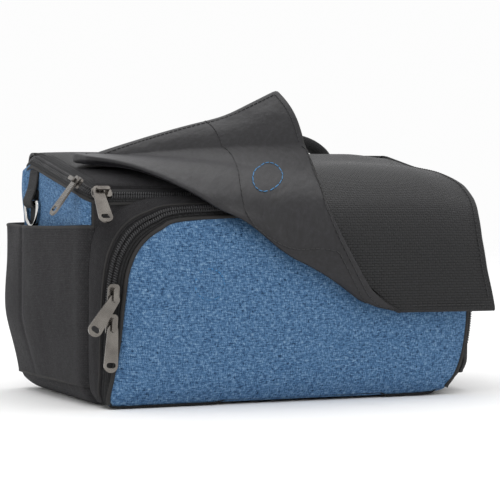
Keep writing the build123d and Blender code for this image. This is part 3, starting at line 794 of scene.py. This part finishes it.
liner = clothPanel("compartmentLining", 200, 44, liningPoint, (872, 220))
liner = joined("compartmentLining", [liner], 0.05)
thicken(liner, 1.2)
smooth(liner, 0)
dress(liner, "bag_body", "lining_cloth", satinLining)
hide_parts("liner")
for side in ("left", "right"):
    low, high = (Vector(corner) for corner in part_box("divider_" + side))
    middle, half = (low + high) / 2, (high - low) / 2
    pad = softBlock("dividerPad" + side.title(), 2, 24)
    for corner in pad.data.vertices:
        c = corner.co
        crown = math.sqrt(max(1 - max(abs(c.y) ** 10, abs(c.z) ** 10), 0))
        slack = 1 + 0.05 * noise.noise(Vector((c.y * 2, c.z * 2, half.x)))
        corner.co = middle + Vector((c.x * half.x * (0.4 + 0.55 * crown) * slack, c.y * half.y, c.z * half.z))
    dress(boxMapped(pad), "divider_" + side, "lining_cloth", satinLining)
    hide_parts("divider_" + side)
print("compartment made")

# the flap is one cut of cloth with its near corner turned back
flap = {"width": 283.0, "left": -146.0, "turnAt": 78.0, "turnEnd": 212.0, "liftEnd": 63.0, "thick": 2.4,
        "profile": [(66, 171.0), (47, 172.4), (24, 169.6), (0, 166.4), (-31, 163.2), (-52, 159.6), (-69, 153.2),
                    (-84.5, 143.8), (-98, 131.6), (-105.6, 114.4), (-108.3, 92), (-109.0, 60)],
        "root": [(-139, -11, 165), (20, -54, 177)],
        "far": [(-139, -11, 165), (-112, -11, 174), (-93, -12, 180), (-75, -14, 185.6), (-53, -16, 191.8),
                (-29, -18, 198), (-8, -20, 208), (13, -20, 218.2)],
        "rightEdge": [(0, 0), (120, 0), (139, 3), (158, 2), (177, -2), (195, -4), (218, -3), (246, 2)],
        "hem": [(20, -54, 177), (17.5, -79, 154.5), (15, -98, 138.6), (20, -111, 116), (31, -115, 94), (42, -115, 76.7),
                (55.5, -113, 66.6), (65, -111, 61)]}
flapLine = [sideLine(flap["profile"], k / 400) for k in range(401)]
flapSteps = [0.0]
for a, b in zip(flapLine, flapLine[1:]):
    flapSteps.append(flapSteps[-1] + (b - a).length)
flap["length"] = flapSteps[-1]
print("flap length", flap["length"])


def flapProfile(v):
    v = min(max(v, 0.0), flap["length"])
    low, high = 0, len(flapSteps) - 1
    while high - low > 1:
        half = (low + high) // 2
        low, high = (half, high) if flapSteps[half] <= v else (low, half)
    share = (v - flapSteps[low]) / (flapSteps[high] - flapSteps[low])
    return flapLine[low].lerp(flapLine[high], share)


def flapBase(u, v):
    spot = flapProfile(v)
    x = flap["left"] + u
    droop = math.exp(-u / 14) * ease(v / 70)
    flare = ease((u - 200) / 83) * ease((v - 170) / 77)
    rightDroop = ease((u - 245) / 38) * (1 - ease((v - 150) / 60))
    for (a, da), (b, db) in zip(flap["rightEdge"], flap["rightEdge"][1:]):
        if v <= b:
            break
    x += (da + (db - da) * (min(v, b) - a) / (b - a)) * ease((u - 190) / 93)
    ripple = noise.noise(Vector((u * 0.012, v * 0.018, 5.0))) * 2.2 * ease(v / 60)
    return Vector((x + 6.5 * droop, spot.y - 7.0 * flare - ripple * 0.6,
                   spot.z - 7.0 * droop - 3.0 * rightDroop + ripple * (1 - ease((v - 150) / 30))))


foldStart = Vector((0, flap["turnAt"]))
foldEnd = Vector((flap["turnEnd"], flap["length"]))
foldWay = (foldEnd - foldStart).normalized()
foldOut = Vector((-foldWay.y, foldWay.x))
liftSpot = Vector((flap["liftEnd"], flap["length"])) - foldStart
foldLength = (foldEnd - foldStart).length
liftShare = liftSpot.dot(foldWay) / foldLength
liftDepth = liftSpot.dot(foldOut)


def foldSpot(s):
    return foldStart + foldWay * foldLength * s


def rollEnd(s):
    if s <= liftShare:
        f = s / liftShare
        spot = Vector(flap["root"][0]).lerp(Vector(flap["root"][1]), f)
        spot.z += 3.0 * math.sin(math.pi * f)
        return spot
    return throughPoints(flap["hem"], (s - liftShare) / (1 - liftShare))


def rollDepth(s):
    return liftDepth * (s / liftShare if s <= liftShare else (1 - s) / (1 - liftShare))


def rollPoint(s, q):
    at = foldSpot(s)
    start = flapBase(at.x, at.y)
    inside = at - foldOut * 2
    away = (start - flapBase(inside.x, inside.y)).normalized()
    end, depth = rollEnd(s), rollDepth(s)
    late = ease((s - liftShare) / (1 - liftShare))
    way = Vector((-0.10, 0.66, 0.74)).lerp(Vector((0.56, -0.10, 0.82)), late).normalized()
    reach = min(76.0, 0.7 * depth + 28.0) * ease(s / 0.07) * ease((1 - s) / 0.12)
    reach *= 1 - 0.58 * ease((s - 0.5) / 0.36)
    second, third = start + away * reach, end - way * depth * (0.3 + 0.1 * late)
    k = 1 - q
    spot = start * k ** 3 + second * 3 * k * k * q + third * 3 * k * q * q + end * q ** 3
    if spot.y > -104:  # lies on the cloth under it and never sinks into it
        floorHeight = min(flapLine, key=lambda p: abs(p.y - spot.y)).z + 5.0 * ease(q / 0.3)
        spot.z += max(floorHeight - spot.z, 0)
    elif spot.z > 60:
        frontDepth = min(flapLine, key=lambda p: abs(p.z - spot.z)).y - 4.0 * ease(q / 0.3)
        spot.y = min(spot.y, frontDepth)
    return spot


def tipPoint(f, w):
    base = rollEnd(f * liftShare)
    far = throughPoints(flap["far"], f)
    spot = base.lerp(far, w)
    bow = math.sin(math.pi * w) * f
    return spot + Vector((0.4, -2.2, 1.6)) * bow * 2.0


rows = {"rear": 14, "front": 36, "toLift": 20}


def keptPoint(i, j):
    v, left = keptPlace(j)
    u = left + (flap["width"] - left) * i
    spot = flapBase(u, v)
    if j >= 1 and i <= 0:
        spot = flapBase(foldEnd.x, foldEnd.y)
    return spot


def keptPlace(j):
    split = rows["rear"] / (rows["rear"] + rows["front"])
    if j <= split:
        return flap["turnAt"] * j / split, 0.0
    s = (j - split) / (1 - split)
    return foldSpot(s).y, foldSpot(s).x


def keptWeave(i, j):
    v, left = keptPlace(j)
    return (left + (flap["width"] - left) * i) * mm, v * mm


def shareAt(u):  # the fold's share at a grid line: one grid line ends exactly where the corner lifts off
    lift = rows["toLift"] / rows["front"]
    return liftShare * u / lift if u <= lift else liftShare + (1 - liftShare) * (u - lift) / (1 - lift)


kept = clothPanel("flapKept", 60, rows["rear"] + rows["front"], keptPoint, keptWeave)
roll = clothPanel("flapFolded", rows["front"], 22, lambda u, q: rollPoint(shareAt(u), q), lambda u, q: (
    (foldSpot(shareAt(u)).x + foldOut.x * rollDepth(shareAt(u)) * q) * mm,
    (foldSpot(shareAt(u)).y + foldOut.y * rollDepth(shareAt(u)) * q) * mm))
tip = clothPanel("flapTip", rows["toLift"], 16, tipPoint, lambda f, w: (
    f * flap["liftEnd"] * (1 - w) * mm, (flap["turnAt"] + f * (flap["length"] - flap["turnAt"])) * mm))
folded = joined("flapFolded", [roll, tip], 0.4)
for piece in (kept, folded):
    piece.data.materials.append(ribbedNylon)
    piece.data.materials.append(satinLining)
    piece.data.materials.append(pipingCord)
    pick(piece)
    bpy.ops.object.mode_set(mode="EDIT")
    bpy.ops.mesh.select_all(action="SELECT")
    bpy.ops.mesh.normals_make_consistent(inside=False)
    bpy.ops.object.mode_set(mode="OBJECT")
middle = min(kept.data.polygons, key=lambda face: (face.center - Vector((0.08, 0.0, 0.17))).length)
if middle.normal.z < 0:
    kept.data.flip_normals()
middle = min(folded.data.polygons, key=lambda face: (face.center - Vector((-0.01, -0.04, 0.195))).length)
if middle.normal.y < 0:  # the outer cloth of the folded part faces back and down
    folded.data.flip_normals()
for piece in (kept, folded):
    applied(piece, "SOLIDIFY", thickness=flap["thick"] * mm, offset=0, material_offset=1, material_offset_rim=2)
    smooth(piece, 1)
dress(kept, "flap", "black_nylon")
dress(folded, None, "lining_cloth")
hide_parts("flap_cloth", "flap_lining", "flap_magnet_right")
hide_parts("flap_corner", "flap_magnet_left", "flap_roll")
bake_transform(folded)


def onFlat(a, b):  # the turned-back cloth over the flat place a across, b along
    f = (b - flap["turnAt"]) / (flap["length"] - flap["turnAt"])
    if a <= f * flap["liftEnd"]:
        return tipPoint(f, 1 - a / max(f * flap["liftEnd"], 0.01)), "flap_corner"
    at = Vector((a, b)) - foldStart
    s = min(at.dot(foldWay) / foldLength, 0.999)
    return rollPoint(s, min(at.dot(foldOut) / max(rollDepth(s), 0.01), 1)), "flap"


def overLining(a, b, rise=1.4):
    spot, body = onFlat(a, b)
    across, along = onFlat(a + 1.5, b)[0] - onFlat(a - 1.5, b)[0], onFlat(a, b - 0.2)[0] - onFlat(a, b - 3.2)[0]
    face = across.cross(along).normalized()
    if face.dot(Vector((-0.4, -0.75, 0.5))) < 0:
        face = -face
    return spot + face * rise, body


def sewOnLining(name, flatPath, finish, thread):
    runs = {"flap": [], "flap_corner": []}
    points = [p.to_2d() for p in spaced([(a, b, 0) for a, b in flatPath], sewing["pitch"])]
    for p, q in zip(points, points[1:]):
        ends = [overLining(*p.lerp(q, k / 3 * 0.72)) for k in range(4)]
        if len({body for _, body in ends}) == 1:
            runs[ends[0][1]].append([spot for spot, _ in ends])
    for body, found in runs.items():
        if found:
            dress(lineOf(name + body.title().replace("_", ""), found, thread, 1), body, "black_nylon", finish)


end = flap["length"]
sewOnLining("facingStitches", [(1.5, end - 62), (104, end - 60), (136, end - 8), (196, end - 6)], blackThread, 0.3)
sewOnLining("leftHemStitches", [(5.0, end - 160), (5.0, end - 5)], blackThread, 0.3)
sewOnLining("hemStitches", [(5.0, end - 5), (190, end - 3)], blackThread, 0.3)
ring = [(72 + 10.5 * math.cos(math.radians(k * 10)), end - 42 + 10.5 * math.sin(math.radians(k * 10)))
        for k in range(37)]
sewOnLining("magnetStitches", ring, blueThread, 0.34)


def overCloth(u, v, rise=1.5):
    spot = flapBase(u, v)
    face = (flapBase(u + 2, v) - flapBase(u - 2, v)).cross(flapBase(u, v - 2) - flapBase(u, v + 2)).normalized()
    return spot + face * rise


for name, path in (("flapHemSeam", [(222 + (278 - 222) * k / 20, end - 5) for k in range(21)]),
                   ("flapEdgeSeam", [(278.5, 20 + (end - 26) * k / 60) for k in range(61)])):
    stitches(name, [overCloth(u, v) for u, v in path], "flap", "black_nylon", blackThread,
             lift=Vector((0, -0.5, 0.3)), thread=0.3)
circle = [Vector((-73 + 10.5 * math.cos(math.radians(k * 6)), 0, 82 + 10.5 * math.sin(math.radians(k * 6))))
          for k in range(61)]
for point in circle:  # on the panel: find its depth from the panel's own surface
    near = min(panel.data.vertices, key=lambda corner: (corner.co.x / mm - point.x) ** 2
               + (corner.co.z / mm - point.z) ** 2 + (0 if corner.co.y < -0.09 else 100))
    point.y = near.co.y / mm - 0.9
stitches("panelMagnetStitches", circle, "bag_body", "blue_cloth", blueThread, lift=Vector((0, -0.5, 0)), thread=0.42)
root = {"line": [(71.6, 161.4), (72.8, 164.8), (72.2, 168.0), (69.4, 170.0), (65.4, 171.1), (58, 171.0)],
        "leftDroop": (7.0, 14), "rightDroop": (4.2, 7)}


def rootPoint(u, v):
    spot = sideLine(root["line"], v)
    low = (root["leftDroop"][0] * math.exp(-flap["width"] * u / root["leftDroop"][1])
           + root["rightDroop"][0] * math.exp(-flap["width"] * (1 - u) / root["rightDroop"][1]))
    return flap["left"] + flap["width"] * u, spot.y, spot.z - low * (1 - ease(v / 0.6))


rootStrip = clothPanel("flapRootStrip", 60, 12, rootPoint, (283, 17))
thicken(rootStrip, 1.8)
smooth(rootStrip, 0)
dress(rootStrip, None, "black_nylon", ribbedNylon)
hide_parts("flap_root")
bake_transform(rootStrip)  # sewn to both; here it is left on no body and keeps its baked shape
print("flap made")

# carrying handle and its sewn ends
handle = {"line": [(-99, 148), (-97, 156), (-92, 164), (-70, 172), (-20, 181), (30, 187), (76, 184.5),
                   (98, 175), (105, 161), (107, 148)], "y": 86.0, "half": (5.6, 4.4)}


def handlePoint(u, v):
    spot, ahead, behind = (frontLine(handle["line"], t) for t in (u, min(u + 0.01, 1), max(u - 0.01, 0)))
    way = (ahead - behind).normalized()
    up = Vector((-way.z, 0, way.x))
    turn = 2 * math.pi * v
    flatEnd = 1 - 0.5 * ease((0.1 - min(u, 1 - u)) / 0.1)
    return (Vector((spot.x, handle["y"] - 2.4 * ease((0.12 - min(u, 1 - u)) / 0.12), spot.z))
            + up * math.cos(turn) * handle["half"][0] * (1.6 - 0.6 * flatEnd)
            + Vector((0, 1, 0)) * math.sin(turn) * handle["half"][1] * flatEnd)


handleGrip = joined("handleGrip", [clothPanel("handleGrip", 70, 16, handlePoint, (280, 34))], 0.05)
smooth(handleGrip, 1)
dress(handleGrip, None, "webbing", ribWebbing)
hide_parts("handle")
handleTab = {"line": [(81.4, 115), (81.4, 128), (81.6, 139), (83.6, 145), (86.6, 149), (86.0, 153.4), (82.6, 154.6),
                      (81.2, 151)], "wide": 22.0}
for side, x in (("Left", -97), ("Right", 106)):
    strap = clothPanel("handleTab" + side, 8, 36, lambda u, v, x=x: (
        x + handleTab["wide"] * (u - 0.5), *sideLine(handleTab["line"], v).yz), (22, 48))
    applied(strap, "SOLIDIFY", thickness=1.5 * mm, offset=0)
    dress(smooth(strap, 1), "bag_body", "webbing", ribWebbing)
    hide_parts("handle_tab_" + side.lower())
    box = [(x - 9, 82.4, 118), (x + 9, 82.4, 118), (x + 9, 82.4, 136), (x - 9, 82.4, 136), (x - 9, 82.4, 118)]
    for k, run in enumerate((box, [box[0], box[2]], [box[1], box[3]])):  # box-and-cross stitching
        stitches("handleTabStitches%s%d" % (side, k), run, "bag_body", "webbing", blackThread,
                 lift=Vector((0, 0.4, 0)))
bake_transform(handleGrip)

# finishes on the pieces that keep their own shape
finishes = {"bright_metal": brightNickel, "dark_metal": darkNickel, "webbing": ribWebbing, "magnet": magnetDisc,
            "foam_board": foamBoard, "lining_cloth": satinLining, "black_nylon": packCloth,
            "blue_cloth": blueMelange, "zip_tape": ribWebbing}
for entry in frame["record"]["subparts"]:
    for piece in bpy.data.objects:
        if piece.name == entry["node"] and piece.type == "MESH":
            piece.data.materials.clear()
            piece.data.materials.append(finishes[entry["material_slot"]])

# light and floor
studio = {"world": 0.98, "key": 7.0, "fill": 2.0, "top": 7.0}
bpy.ops.mesh.primitive_plane_add(size=8, location=(0, 0, -0.0005))
floor = bpy.context.object
floor.name = "studioFloor"
paper, paperTree, paperShader = newMaterial("studioPaper", Roughness=0.9)
paperGrain = addNode(paperTree, "ShaderNodeTexNoise", {"Scale": 40.0})
paperTree.links.new(ramp(paperTree, paperGrain.outputs["Fac"], [(0.3, "#FDFDFD"), (0.7, "#FFFFFF")]),
                    paperShader.inputs["Base Color"])
floor.data.materials.append(paper)
world = bpy.data.worlds.new("studioWorld")
bpy.context.scene.world = world
world.use_nodes = True
world.node_tree.nodes["Background"].inputs["Color"].default_value = (1, 1, 1, 1)
world.node_tree.nodes["Background"].inputs["Strength"].default_value = studio["world"]
for name, place, size, power in (("keyLamp", (-1.2, -1.4, 1.9), 1.2, studio["key"]),
                                 ("fillLamp", (1.6, -1.2, 0.9), 1.4, studio["fill"]),
                                 ("topLamp", (0.1, 0.5, 1.8), 1.4, studio["top"])):
    bpy.ops.object.light_add(type="AREA", location=place)
    lamp = bpy.context.object
    lamp.name = name
    lamp.data.size, lamp.data.energy = size, power
    lamp.rotation_euler = (Vector((0, 0, 0.08)) - Vector(place)).to_track_quat("-Z", "Y").to_euler()
print("lights made")
